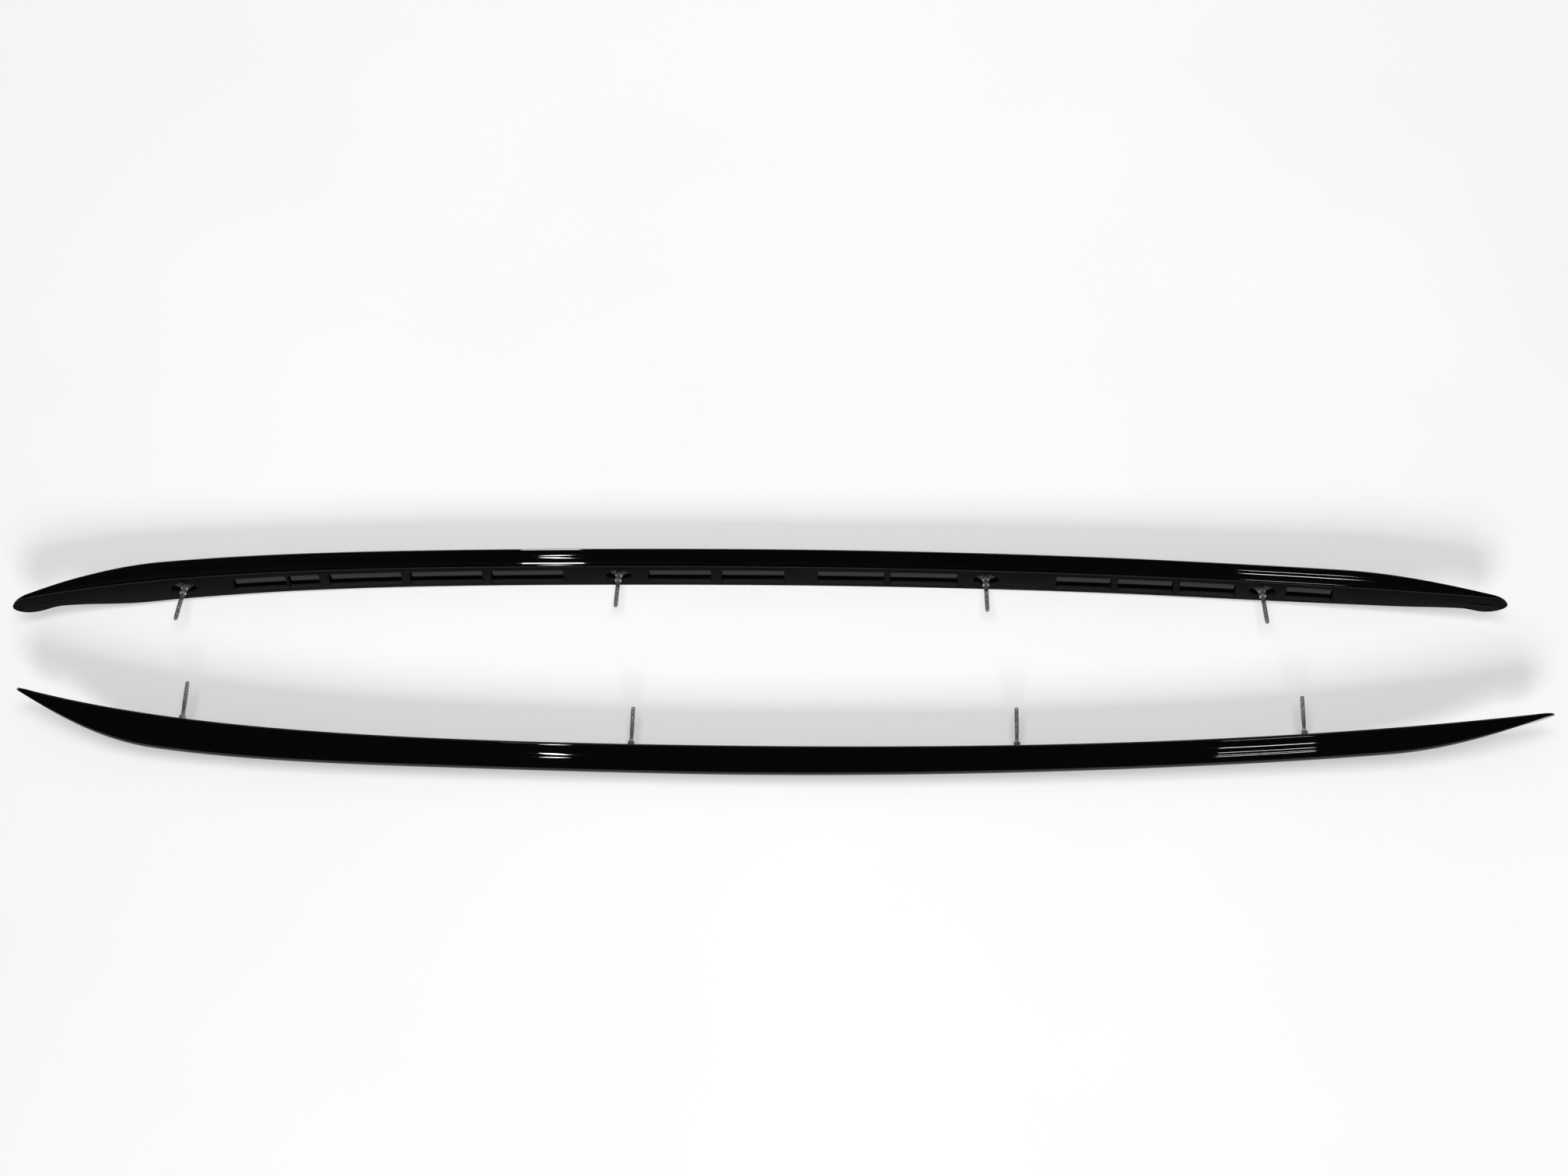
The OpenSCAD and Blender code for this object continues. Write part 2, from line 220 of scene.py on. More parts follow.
# inner side of the rail: share of its height, and offset in channel depths. A lip with a soft
# edge, a shallow channel, a crease, and the swell under the crown.
INNER = ((0, 0.45), (0.012, 0.1), (0.03, -0.18), (0.08, -0.36), (0.14, -0.1), (0.22, 0.45),
         (0.32, 0.9), (0.42, 1.08), (0.54, 0.98), (0.6, 0.6), (0.66, 0.12), (0.71, -0.1),
         (0.77, -0.06), (0.84, 0.12), (0.88, 0.16))
CROWN_START, LEAST_CROWN_R = 192, 0.3  # degrees round the crown's centre, and a thin tip's radius
CROWN_STEPS, SIDE_STEPS = 16, 14
# the outer side: a curve from the crown past a knee to its foot, in shares of the height between
SIDE_FOOT, LEAST_FOOT, KNEE = 0.32, 0.15, 0.67
# soft edges where the strip is at its full thickness, and the bevel's middle as a share of it
FOOT_EDGE, CHANNEL_FLANK, FLANGE_EDGE, BEVEL_MIDDLE = 0.5, 0.3, 0.4, 0.3


def strip_share(h):
    """The strip's thickness under a rail of height h, and its share of the full one."""
    thick = min(STRIP_T, STRIP_SHARE * h)
    return thick, thick / STRIP_T


def rail_ring(x):
    """A section of the rail: the inner side, crown, outer side and underside, in that order."""
    w, h, f = base_w(x), rail_h(x), fall(x)
    thick, k = strip_share(h)
    foot, lip, seat = FLANGE_T * k + FIT_GAP, LIP_W * k, thick + FIT_GAP
    r, crown_a, lean = CROWN_R * f, smooth(CROWNS, x) * f, math.tan(CANT)
    crown_v, crown_r = h - r, max(LEAST_CROWN_R, r)
    side_v = max(seat + LEAST_FOOT * h, foot + SIDE_FOOT * (crown_v - foot))
    side_a = w - side_v * lean
    knee_v = side_v + KNEE * (crown_v - side_v)
    knee_a = w - knee_v * lean
    away, up = knee_a - crown_a, knee_v - crown_v
    crown_end = math.degrees(math.atan2(up, away) + math.acos(crown_r / math.hypot(away, up)))
    ring = [((crown_a - r) * share + CHANNEL_D * f * out, foot + share * (crown_v - foot))
            for share, out in INNER]
    for i in range(CROWN_STEPS + 1):
        g = math.radians(CROWN_START + (crown_end - CROWN_START) * i / CROWN_STEPS)
        ring.append((crown_a + crown_r * math.cos(g), crown_v + crown_r * math.sin(g)))
    top_a, top_v = ring[-1]
    for i in range(1, SIDE_STEPS + 1):
        b = i / SIDE_STEPS
        ring.append(((1 - b) ** 2 * top_a + 2 * b * (1 - b) * knee_a + b * b * side_a,
                     (1 - b) ** 2 * top_v + 2 * b * (1 - b) * knee_v + b * b * side_v))
    edge, flank = FOOT_EDGE * k, CHANNEL_FLANK * k
    land = max(lip + edge, (w - CHANNEL_W) / 2)
    floor_v = seat + SEAT_D * k
    ring += [(w - foot * lean, foot + edge), (w - foot * lean - edge, foot), (w - lip, foot),
             (w - lip, seat), (w - land, seat), (w - land - flank, floor_v),
             (land + flank, floor_v), (land, seat), (lip, seat), (lip, foot)]
    return [place(x, a, v) for a, v in ring]


def strip_ring(x):
    """A section of the base strip: a flange under the rail's lips, and a raised middle."""
    w = base_w(x)
    thick, k = strip_share(rail_h(x))
    flange, lip, lean = FLANGE_T * k, LIP_W * k + FIT_GAP, math.tan(CANT)
    e, soft = STRIP_BEVEL * k, FLANGE_EDGE * k
    m = BEVEL_MIDDLE * e
    ring = [(e, 0), (m, m), (0, e), (0, flange - soft), (soft, flange), (lip, flange), (lip, thick),
            (w - lip, thick), (w - lip, flange), (w - flange * lean - soft, flange),
            (w - flange * lean, flange - soft), (w - e * lean, e), (w - m, m), (w - e, 0)]
    return [place(x, a, v) for a, v in ring]


# ---------------------------------------------------------------- building

WELD = 1e-6  # in metres
FINE_EDGE, PLASTIC_EDGE, ROD_EDGE, HEX_SHARP = 34, 28, 50, 25  # degrees past which an edge is sharp


def choose(obj):
    """Selects one object alone and makes it active."""
    bpy.ops.object.select_all(action="DESELECT")
    obj.select_set(True)
    bpy.context.view_layer.objects.active = obj


def shade(obj, angle):
    """Smooth faces, with edges kept sharp past an angle in degrees."""
    choose(obj)
    bpy.ops.object.shade_smooth_by_angle(angle=math.radians(angle))


def skin(name, rings, smooth_angle=FINE_EDGE):
    """Closed skin through rings of points in millimetres: a grid, rolled up, sealed and capped."""
    n, m = len(rings[0]), len(rings)
    bpy.ops.object.select_all(action="DESELECT")
    bpy.ops.mesh.primitive_grid_add(x_subdivisions=m - 1, y_subdivisions=n, size=1,
                                    location=(0, 0, 0))
    obj = bpy.context.active_object
    obj.name = obj.data.name = name
    for v in obj.data.vertices:
        i = round((v.co.x + 0.5) * (m - 1))
        j = round((v.co.y + 0.5) * n)
        v.co = Vector(rings[i][j % n]) * MM
    bpy.ops.object.mode_set(mode="EDIT")
    bpy.ops.mesh.select_all(action="SELECT")
    bpy.ops.mesh.remove_doubles(threshold=WELD)
    bpy.ops.mesh.select_all(action="DESELECT")
    bpy.ops.mesh.select_mode(type="EDGE")
    bpy.ops.mesh.select_non_manifold()
    bpy.ops.mesh.edge_face_add()
    bpy.ops.mesh.select_all(action="SELECT")
    bpy.ops.mesh.normals_make_consistent(inside=False)
    bpy.ops.mesh.select_mode(type="VERT")
    bpy.ops.object.mode_set(mode="OBJECT")
    shade(obj, smooth_angle)
    return obj


def moved(rings, matrix):
    """The same rings carried to another frame."""
    return [[matrix @ Vector(p) for p in ring] for ring in rings]


def joined(name, parts):
    """One mesh of several closed ones."""
    bpy.ops.object.select_all(action="DESELECT")
    for part in parts:
        part.select_set(True)
    bpy.context.view_layer.objects.active = parts[0]
    bpy.ops.object.join()
    obj = bpy.context.active_object
    obj.name = obj.data.name = name
    return obj


def cut(obj, cutter, smooth_angle=FINE_EDGE):
    """Takes a cutter's shape away from a piece."""
    choose(obj)
    mod = obj.modifiers.new("cut", "BOOLEAN")
    mod.operation, mod.solver, mod.object = "DIFFERENCE", "EXACT", cutter
    bpy.ops.object.modifier_apply(modifier=mod.name)
    bpy.data.objects.remove(cutter)
    shade(obj, smooth_angle)


def circle(r, z, count):
    """A ring of evenly spaced points."""
    return [(r * math.cos(2 * math.pi * i / count), r * math.sin(2 * math.pi * i / count), z)
            for i in range(count)]


CORNER_TURNS = (0, 22.5, 45, 67.5, 90)


def rounded_slot(length, width, r, z):
    """A rectangle with rounded corners."""
    ring = []
    for q in range(4):
        sx, sy = (1 if q in (0, 3) else -1), (1 if q < 2 else -1)
        for g in CORNER_TURNS:
            a = math.radians(90 * q + g)
            ring.append((sx * (length / 2 - r) + r * math.cos(a),
                         sy * (width / 2 - r) + r * math.sin(a), z))
    return ring


LENS_STEPS = 8  # in half an arc


def lens(length, width, z):
    """Two arcs that meet in points."""
    r = (length * length + width * width) / (4 * width)
    g = math.asin(length / 2 / r)
    ring = []
    for s in (1, -1):
        for i in range(-LENS_STEPS, LENS_STEPS):
            a = g * i / LENS_STEPS
            ring.append((-s * r * math.sin(a), s * (r * math.cos(a) - r + width / 2), z))
    return ring


# the openings' cutters: width of the chamfered mouth, start below the face, and height above it
WINDOW_MOUTH, WINDOW_START, WINDOW_TOP = 0.55, -4, 16
SINK_MOUTH, SINK_START, SINK_DRAFT = 0.3, -3, 0.2
SINK_SIDES, SQUARE_R, SLOT_FLAT = 24, 0.6, 0.05


def steps_through():
    """Growth and height of each ring of a cutter that goes through the strip."""
    return ((WINDOW_MOUTH, WINDOW_START), (WINDOW_MOUTH, 0), (0, WINDOW_MOUTH), (0, WINDOW_TOP))


def steps_into(depth, draft=0):
    """The same for a cutter that stops at a depth, narrower there by its draft."""
    return ((SINK_MOUTH, SINK_START), (SINK_MOUTH, 0), (0, SINK_MOUTH), (-draft, depth))


def strip_cutter(side):
    """All of a strip's openings, joined into one cutter."""
    lay, parts = laying(side), []

    def add(frame_at, rings):
        parts.append(skin("opening", moved(rings, lay @ frame_at)))

    for start, count, length, rib in BAYS:
        for i in range(count):
            x = start + length / 2 + i * (length + rib)
            add(at_base(x), [rounded_slot(length + 2 * g, WINDOW_W + 2 * g, WINDOW_R + g, z)
                             for g, z in steps_through()])
    for x in STUD_X:
        add(at_base(x, tilted=False), [lens(EYE_L + 2 * g, EYE_W + 2 * g, z)
                                       for g, z in steps_through()])
    for x, share, d, depth in SINKS:
        add(at_base(x, share), [circle(d / 2 + g, z, SINK_SIDES)
                                for g, z in steps_into(depth, SINK_DRAFT)])
    for x, length, width, depth in END_SLOTS:
        add(at_base(x), [rounded_slot(length + 2 * g, width + 2 * g, width / 2 - SLOT_FLAT + g, z)
                         for g, z in steps_into(depth)])
    x, size, depth = SQUARE_SINK
    add(at_base(x), [rounded_slot(size + 2 * g, size + 2 * g, SQUARE_R + g, z)
                     for g, z in steps_into(depth)])
    return joined("strip_cutter", parts)


# the stud from the strip's face outwards: a hexagon, a slim shank, the thread and a plain round tip
HEX_AF, HEX_V, HEX_L = 7.6, -2.4, 6
SHANK_R, SHANK_STEP, THREAD_V = 2.65, 0.4, -20.5
PITCH, TOOTH, CREST, FLANK = 1.0, 0.36, 0.12, 0.76  # crest and flank as shares of half a pitch
THREAD_RINGS, ROUND, RUN_OUT = 6, 18, 1.5  # rings a pitch, sides, and pitches in which it fades
TIP_R, TIP_L, TIP_TURNS = 2.75, 6.5, (0, 20, 40, 60, 78)
GROOVE_D, GROOVE_STEPS = 0.4, (0.25, 0.85, 1.1)  # between thread and tip
EDGE, ANCHOR_HOLE, ANCHOR_SHORT = 0.6, 0.4, 1  # of the end that is held in the insert
HEX_EDGE, HEX_TURNED, HEX_SIDES = 0.5, 0.4, 36  # the turned corners' height and depth
COLLAR_BORE, HEX_BORE = STUD_R - 0.3, SHANK_R - 0.2


def tooth(z, turn):
    """Share of the tooth's depth left away at a height and a turn round the stud."""
    t = (z / PITCH - turn) % 1
    return min(1, max(0, (abs(2 * t - 1) - CREST) / FLANK))


def thread_rings(start, end):
    """The helical thread between two heights, fading in and out."""
    steps, rings = round((start - end) / PITCH * THREAD_RINGS), []
    for s in range(steps + 1):
        z = start + (end - start) * s / steps
        fade = min(1, s / THREAD_RINGS, (steps - s) / THREAD_RINGS / RUN_OUT)
        ring = []
        for i in range(ROUND):
            a, r = 2 * math.pi * i / ROUND, STUD_R - TOOTH * fade * tooth(z, i / ROUND)
            ring.append((r * math.cos(a), r * math.sin(a), z))
        rings.append(ring)
    return rings


def stud_rings():
    """The stud from its anchored end to its tip."""
    top = SEAT_V + INSERT_L - ANCHOR_SHORT
    shank_v = SEAT_V - INSERT_T - COLLAR_L
    thread_end = TIP_L - STUD_OUT
    dome_v = TIP_R - STUD_OUT
    rings = [circle(r, z, ROUND) for r, z in
             ((ANCHOR_HOLE, top), (STUD_R - EDGE, top), (STUD_R, top - EDGE), (STUD_R, shank_v),
              (SHANK_R, shank_v - SHANK_STEP), (SHANK_R, THREAD_V + EDGE))]
    rings += thread_rings(THREAD_V, thread_end)
    rings += [circle(r, thread_end - drop, ROUND) for r, drop in
              zip((TIP_R - GROOVE_D, TIP_R - GROOVE_D, TIP_R), GROOVE_STEPS)]
    for g in TIP_TURNS:
        a = math.radians(g)
        rings.append(circle(TIP_R * math.cos(a), dome_v - TIP_R * math.sin(a), ROUND))
    return rings


def hexagon_rings(across, top, length, bore):
    """A hexagon with its corners turned off at both ends, and a bore for the rod."""
    corner, turned, low = across / math.sqrt(3), across / 2 - HEX_TURNED, top - length
    rings = []
    for cap, z in ((bore, top), (turned, top), (corner, top - HEX_EDGE), (corner, low + HEX_EDGE),
                   (turned, low), (bore, low)):
        ring = []
        for i in range(HEX_SIDES):
            a = 2 * math.pi * i / HEX_SIDES
            near = (a + math.pi / 6) % (math.pi / 3) - math.pi / 6
            r = min(cap, across / 2 / math.cos(near))
            ring.append((r * math.cos(a), r * math.sin(a), z))
        rings.append(ring)
    return rings


# ---------------------------------------------------------------- finishes

MIX_LOW, MIX_HIGH, MIX_RESULT = 6, 7, 2  # a colour mix's sockets


def group(name, inputs, outputs):
    """An empty node group with these sockets, and its two ends."""
    tree = bpy.data.node_groups.new(name, "ShaderNodeTree")
    for label, kind, value in inputs:
        socket = tree.interface.new_socket(label, in_out="INPUT", socket_type=kind)
        if value is not None:
            socket.default_value = value
    for label, kind in outputs:
        tree.interface.new_socket(label, in_out="OUTPUT", socket_type=kind)
    return tree, tree.nodes.new("NodeGroupInput"), tree.nodes.new("NodeGroupOutput")


def node(tree, kind, links=(), **values):
    """Adds a node, sets its properties and sockets, and links (socket, from_node, from_socket)."""
    made = tree.nodes.new(kind)
    for key, value in values.items():
        label = key.replace("_", " ").title()
        if label in made.inputs:
            made.inputs[label].default_value = value
        else:
            setattr(made, key, value)
    for socket, source, output in links:
        tree.links.new(source.outputs[output], made.inputs[socket])
    return made


def spread(tree, source, output, low, high, from_low=0.3, from_high=0.7):
    """Turns a value between from_low and from_high into one between low and high."""
    made = node(tree, "ShaderNodeMapRange", (("Value", source, output),))
    for label, value in (("From Min", from_low), ("From Max", from_high),
                         ("To Min", low), ("To Max", high)):
        made.inputs[label].default_value = value
    return made


def combine(tree, operation, first, second):
    """A math node on two sources, each a node and its output."""
    return node(tree, "ShaderNodeMath", ((0, *first), (1, *second)), operation=operation)


def grain_group():
    """Moulded or cast grain: a height for bumps and a slow mottle for roughness and colour."""
    tree, start, end = group("surface_grain", (("Vector", "NodeSocketVector", None),
                                               ("Grain Scale", "NodeSocketFloat", 1500.0),
                                               ("Mottle Scale", "NodeSocketFloat", 30.0)),
                             (("Height", "NodeSocketFloat"), ("Mottle", "NodeSocketFloat")))
    fine_links = (("Vector", start, "Vector"), ("Scale", start, "Grain Scale"))
    fine = node(tree, "ShaderNodeTexNoise", fine_links, detail=3.0, roughness=0.6)
    cells = node(tree, "ShaderNodeTexVoronoi", fine_links)
    both = combine(tree, "ADD", (fine, 0), (cells, "Distance"))
    slow = node(tree, "ShaderNodeTexNoise",
                (("Vector", start, "Vector"), ("Scale", start, "Mottle Scale")),
                detail=6.0, roughness=0.62)
    tree.links.new(both.outputs[0], end.inputs["Height"])
    tree.links.new(slow.outputs[0], end.inputs["Mottle"])
    return tree


SPECK_EDGE = (0.05, 0.11)  # distances from a speck's middle between which it ends
PATCH_SCALE, PATCH_EDGE = 14.0, (0.48, 0.75)  # noise levels between which a patch begins
# how far a face looks up, from the fewest specks to all of them, and from no film to a full one;
# the film is partly dust and partly painted sheen, lighter where a face looks up as if lit from
# above
SPECKS_LIE, LEAST_SPECKS = (0.2, 0.9), 0.15
FILM_AND_SHEEN_LIES = (0.45, 0.95)


def dust_and_sheen_group():
    """Settled dust and painted sheen: sparse dust specks in patches, and a film that is partly dust
    and partly painted sheen, both on faces that look up.
    """
    tree, start, end = group("settled_dust_and_sheen", (("Vector", "NodeSocketVector", None),
                                              ("Speck Scale", "NodeSocketFloat", 260.0),
                                              ("Amount", "NodeSocketFloat", 0.5)),
                             (("Dust", "NodeSocketFloat"), ("Film And Sheen", "NodeSocketFloat")))
    specks = node(tree, "ShaderNodeTexVoronoi",
                  (("Vector", start, "Vector"), ("Scale", start, "Speck Scale")))
    dots = spread(tree, specks, "Distance", 1, 0, *SPECK_EDGE)
    patches = node(tree, "ShaderNodeTexNoise", (("Vector", start, "Vector"),),
                   scale=PATCH_SCALE, detail=5.0)
    patch = spread(tree, patches, 0, 0, 1, *PATCH_EDGE)
    facing = node(tree, "ShaderNodeNewGeometry")
    up = node(tree, "ShaderNodeSeparateXYZ", (("Vector", facing, "Normal"),))
    lying = spread(tree, up, "Z", LEAST_SPECKS, 1, *SPECKS_LIE)
    where = combine(tree, "MULTIPLY", (dots, 0), (patch, 0))
    laid = combine(tree, "MULTIPLY", (where, 0), (lying, 0))
    dust = combine(tree, "MULTIPLY", (laid, 0), (start, "Amount"))
    tree.links.new(dust.outputs[0], end.inputs["Dust"])
    # the film: faces that look up turn lighter, partly settled dust and partly painted sheen as if
    # lit from above
    film_and_sheen_mask = spread(tree, up, "Z", 0, 1, *FILM_AND_SHEEN_LIES)
    film_and_sheen = combine(tree, "MULTIPLY", (film_and_sheen_mask, 0), (start, "Amount"))
    tree.links.new(film_and_sheen.outputs[0], end.inputs["Film And Sheen"])
    return tree


GRAIN, DUST_AND_SHEEN = grain_group(), dust_and_sheen_group()


def material(name):
    """A new material with its tree, its shader and the coordinates that its patterns use."""
    made = bpy.data.materials.new(name)
    made.use_nodes = True
    tree = made.node_tree
    shader = next(n for n in tree.nodes if n.type == "BSDF_PRINCIPLED")
    return made, tree, shader, node(tree, "ShaderNodeTexCoord")


def effect(tree, kind, here, **values):
    """Places a shared group on Object coordinates, with this material's own values."""
    made = tree.nodes.new("ShaderNodeGroup")
    made.node_tree = kind
    tree.links.new(here.outputs["Object"], made.inputs["Vector"])
    for label, value in values.items():
        made.inputs[label.replace("_", " ")].default_value = value
    return made


def blend(tree, mask, output, low, high):
    """Mixes low, a colour or an earlier mix, with the colour high where the mask rises."""
    made = tree.nodes.new("ShaderNodeMix")
    made.data_type = "RGBA"
    tree.links.new(mask.outputs[output], made.inputs["Factor"])
    if isinstance(low, tuple):
        made.inputs[MIX_LOW].default_value = (*low, 1)
    else:
        tree.links.new(low.outputs[MIX_RESULT], made.inputs[MIX_LOW])
    made.inputs[MIX_HIGH].default_value = (*high, 1)
    return made


def surface(tree, shader, colour, rough, grain, strength, distance):
    """Feeds the shader its colour, roughness and bumps."""
    tree.links.new(colour.outputs[MIX_RESULT], shader.inputs["Base Color"])
    tree.links.new(rough.outputs[0], shader.inputs["Roughness"])
    bump = node(tree, "ShaderNodeBump", (("Height", grain, "Height"),),
                strength=strength, distance=distance)
    tree.links.new(bump.outputs[0], shader.inputs["Normal"])


def gloss_black():
    """Deep black paint with a slight haze, hardly any peel, and a few specks of dust."""
    made, tree, shader, here = material("gloss_black_paint")
    grain = effect(tree, GRAIN, here, Grain_Scale=160.0, Mottle_Scale=9.0)
    dust = effect(tree, DUST_AND_SHEEN, here, Speck_Scale=330.0, Amount=0.35)
    colour = blend(tree, dust, "Dust", (0.0005, 0.0005, 0.0006), (0.09, 0.086, 0.082))
    haze = spread(tree, grain, "Mottle", 0.015, 0.035)
    surface(tree, shader, colour, haze, grain, strength=0.003, distance=0.0002)
    shader.inputs["Specular IOR Level"].default_value = 0.36
    return made


def grained_plastic():
    """Near-black moulded plastic: mottled, grained, with dust specks and a film on faces that look
    up, partly dust and partly painted sheen.
    """
    made, tree, shader, here = material("grained_charcoal_plastic")
    grain = effect(tree, GRAIN, here, Grain_Scale=1300.0, Mottle_Scale=24.0)
    dust = effect(tree, DUST_AND_SHEEN, here, Speck_Scale=420.0, Amount=0.9)
    body = blend(tree, spread(tree, grain, "Mottle", 0, 1), 0,
                 (0.0012, 0.0011, 0.0009), (0.004, 0.0036, 0.0031))
    # painted sheen with dust: upward faces, such as the strip's upper soft edge, are lighter as if
    # catching light from above
    dusted_and_sheened = blend(tree, dust, "Film And Sheen", body, (0.026, 0.0245, 0.0225))
    colour = blend(tree, dust, "Dust", dusted_and_sheened, (0.06, 0.056, 0.051))
    rough = spread(tree, grain, "Mottle", 0.42, 0.6)
    surface(tree, shader, colour, rough, grain, strength=0.45, distance=0.0003)
    shader.inputs["Specular IOR Level"].default_value = 0.045
    return made


def zinc(name, light, dark, rough_low, rough_high):
    """Zinc plating, duller and rougher in its dark patches."""
    made, tree, shader, here = material(name)
    grain = effect(tree, GRAIN, here, Grain_Scale=900.0, Mottle_Scale=160.0)
    colour = blend(tree, spread(tree, grain, "Mottle", 0, 1, 0.35, 0.68), 0, dark, light)
    rough = spread(tree, grain, "Mottle", rough_high, rough_low)
    surface(tree, shader, colour, rough, grain, strength=0.08, distance=0.0001)
    shader.inputs["Metallic"].default_value = 0.85
    return made


PAINT = gloss_black()
PLASTIC = grained_plastic()
STUD_ZINC = zinc("bright_zinc", (0.66, 0.65, 0.62), (0.42, 0.41, 0.385), 0.18, 0.34)
INSERT_ZINC = zinc("black_zinc", (0.07, 0.07, 0.072), (0.035, 0.035, 0.036), 0.22, 0.36)

# ---------------------------------------------------------------- pieces

SEAT_CLEAR, SEAT_SIDES, SEAT_BELOW = 0.5, 40, 2  # of the cutters that sink the inserts' seats


def finish(obj, look, slot, *replaced):
    """Holds a new piece within the solids' box, dresses it, hangs it under the root, and hides the
    parts that it stands for.
    """
    for v in obj.data.vertices:
        v.co = [min(max(c, low), high) for c, low, high in zip(v.co, *cad_box)]
    obj.data.materials.clear()
    obj.data.materials.append(look)
    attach(obj, "root")
    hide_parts(*replaced)


def build_side(side, hand):
    """One rail with its strip and studs, and the plating of its inserts."""
    lay = laying(side)
    rail = skin(hand + "_rail_skin", moved([rail_ring(x) for x in stations()], lay))
    seats = [skin("seat", moved([circle(FLANGE_D / 2 + SEAT_CLEAR, z, SEAT_SIDES)
                                 for z in (STRIP_T - SEAT_BELOW, SEAT_V)],
                                lay @ at_base(x, tilted=False))) for x in STUD_X]
    cut(rail, joined("seat_cutter", seats))
    finish(rail, PAINT, "black_paint", hand + "_rail")
    strip = skin(hand + "_strip_moulding", moved([strip_ring(x) for x in stations()], lay))
    cut(strip, strip_cutter(side), PLASTIC_EDGE)
    finish(strip, PLASTIC, "strip_plastic", hand + "_base_strip")
    for k, x in enumerate(STUD_X):
        where = lay @ at_base(x, tilted=False) @ Matrix.Diagonal((1, side, 1, 1))
        rod = skin("rod", moved(stud_rings(), where), ROD_EDGE)
        collars = [skin("collar", moved(hexagon_rings(*sizes), where), HEX_SHARP) for sizes in
                   ((COLLAR_AF, SEAT_V - INSERT_T, COLLAR_L, COLLAR_BORE),
                    (HEX_AF, HEX_V, HEX_L, HEX_BORE))]
        stud = joined("%s_threaded_stud_%d" % (hand, k + 1), [rod] + collars)
        finish(stud, STUD_ZINC, "stud_zinc", "%s_stud_%d" % (hand, k + 1))
        insert = nodes["%s_insert_%d" % (hand, k + 1)]
        insert.data.materials.clear()
        insert.data.materials.append(INSERT_ZINC)


build_side(1, "right")
build_side(-1, "left")

# ---------------------------------------------------------------- stage and light

WHITE_LIFT = (0.09, 0.45)  # the part of the floor's white that no lamp gives, in front and behind
LIFT_FROM, LIFT_TO = -0.8, 1.6  # in metres before and behind the rails
FLOOR_SIZE, CLOUD_SCALE = 40, 1.3
FLOOR_DARK, FLOOR_LIGHT = (0.8, 0.8, 0.8), (0.84, 0.84, 0.84)


def add_floor():
    """A pale matt floor whose white rises behind the rails, and which keeps their shadow."""
    bpy.ops.object.select_all(action="DESELECT")
    bpy.ops.mesh.primitive_plane_add(size=FLOOR_SIZE, location=(0, 0, 0))
    floor = bpy.context.active_object
    floor.name = "floor"
    made = bpy.data.materials.new("pale_floor")
    made.use_nodes = True
    tree = made.node_tree
    tree.nodes.clear()
    out = node(tree, "ShaderNodeOutputMaterial")
    here = node(tree, "ShaderNodeTexCoord")
    cloud = node(tree, "ShaderNodeTexNoise", (("Vector", here, "Object"),),
                 scale=CLOUD_SCALE, detail=3.0)
    tone = blend(tree, spread(tree, cloud, 0, 0, 1), 0, FLOOR_DARK, FLOOR_LIGHT)
    matt = node(tree, "ShaderNodeBsdfDiffuse")
    tree.links.new(tone.outputs[MIX_RESULT], matt.inputs["Color"])
    depth = node(tree, "ShaderNodeSeparateXYZ", (("Vector", here, "Object"),))
    lift = spread(tree, depth, "Y", *WHITE_LIFT, LIFT_FROM, LIFT_TO)
    white = node(tree, "ShaderNodeEmission", (("Strength", lift, 0),))
    path = node(tree, "ShaderNodeLightPath")
    seen = combine(tree, "MAXIMUM", (path, "Is Camera Ray"), (path, "Is Glossy Ray"))
    seen = combine(tree, "MAXIMUM", (seen, 0), (path, "Is Transmission Ray"))
    black = node(tree, "ShaderNodeEmission", strength=0.0)
    glow = node(tree, "ShaderNodeMixShader", (("Fac", seen, 0), (1, black, 0), (2, white, 0)))
    both = node(tree, "ShaderNodeAddShader", ((0, matt, 0), (1, glow, 0)))
    tree.links.new(both.outputs[0], out.inputs["Surface"])
    floor.data.materials.append(made)


# the room as it lights surfaces, and as the gloss reflects it
ROOM, ROOM_LEVEL = (1, 0.99, 0.98, 1), 0.2
SHINE, SHINE_LEVEL = (0.95, 0.97, 1, 1), 0.05


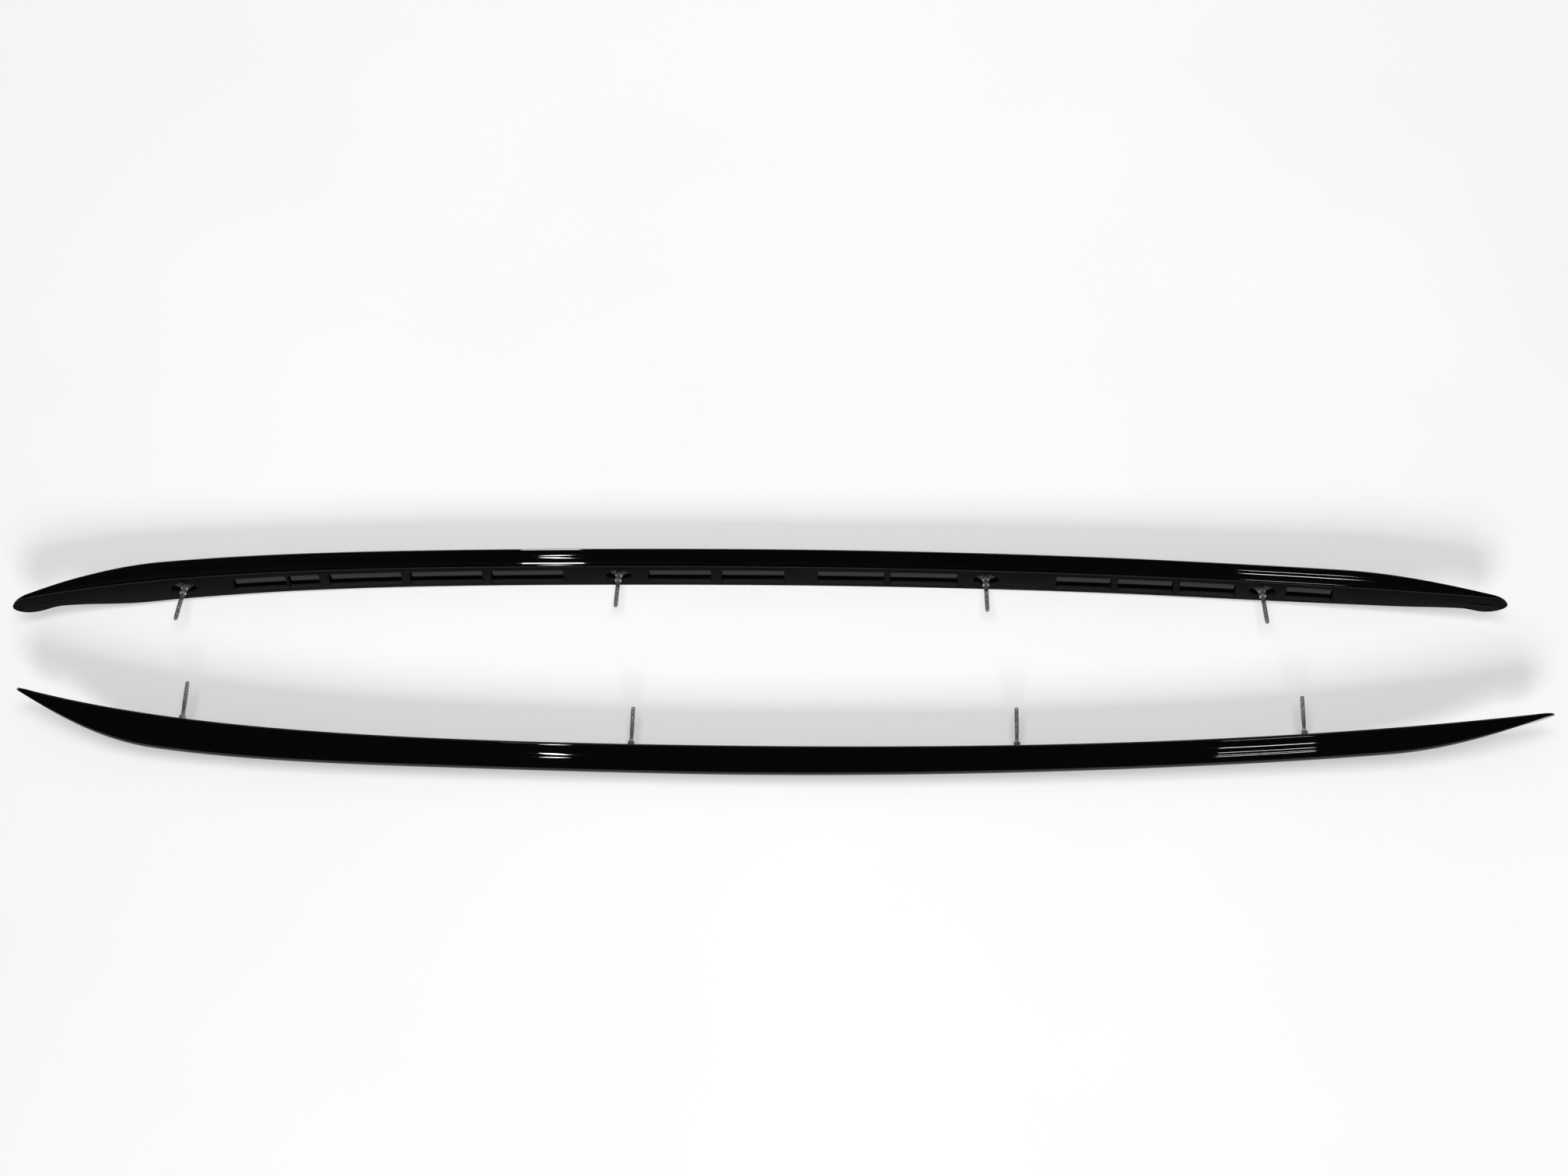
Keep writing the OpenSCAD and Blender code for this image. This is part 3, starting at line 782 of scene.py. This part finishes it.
def add_world():
    """A pale room, dark in the gloss, and white where the camera sees it."""
    world = bpy.data.worlds.new("studio")
    bpy.context.scene.world = world
    world.use_nodes = True
    tree = world.node_tree
    tree.nodes.clear()
    out = node(tree, "ShaderNodeOutputWorld")
    room = node(tree, "ShaderNodeBackground", color=ROOM, strength=ROOM_LEVEL)
    white = node(tree, "ShaderNodeBackground", color=(1, 1, 1, 1), strength=1.0)
    dark = node(tree, "ShaderNodeBackground", color=SHINE, strength=SHINE_LEVEL)
    path = node(tree, "ShaderNodeLightPath")
    shine = node(tree, "ShaderNodeMixShader",
                 (("Fac", path, "Is Glossy Ray"), (1, room, 0), (2, dark, 0)))
    seen = node(tree, "ShaderNodeMixShader",
                (("Fac", path, "Is Camera Ray"), (1, shine, 0), (2, white, 0)))
    tree.links.new(seen.outputs[0], out.inputs["Surface"])


# name, place and aim in millimetres, width and depth in millimetres, watts, and what it reaches:
# the two large lamps light the surfaces, and the three small ones are only seen in the gloss
LAMPS = (
    ("low_front", (400, -4900, 1950), (0, 60, 0), (2500, 1150), 262, "surfaces"),
    ("soft_top", (-60, -450, 3600), (-60, -450, 0), (2800, 2400), 62, "surfaces"),
    ("ceiling_left", (-638, 1095, 2434), (-638, 1095, 0), (50, 600), 9, "gloss"),
    ("wall_panel", (-740, 3000, 450), (-285, 100, 0), (170, 700), 8, "gloss"),
    ("ceiling_right", (1040, 950, 2434), (1040, 950, 0), (190, 180), 5.5, "gloss"),
)


def add_lamp(name, place_mm, aim_mm, size_mm, watts, reach):
    """A rectangular lamp that looks at its aim."""
    data = bpy.data.lights.new(name, "AREA")
    data.shape, data.size, data.size_y = "RECTANGLE", size_mm[0] * MM, size_mm[1] * MM
    data.energy = watts
    lamp = bpy.data.objects.new(name, data)
    bpy.context.scene.collection.objects.link(lamp)
    lamp.location = Vector(place_mm) * MM
    ahead = (Vector(aim_mm) - Vector(place_mm)).normalized()
    lamp.rotation_euler = ahead.to_track_quat("-Z", "Y").to_euler()
    lamp.visible_glossy, lamp.visible_diffuse = reach == "gloss", reach == "surfaces"


add_floor()
add_world()
for lamp_sizes in LAMPS:
    add_lamp(*lamp_sizes)
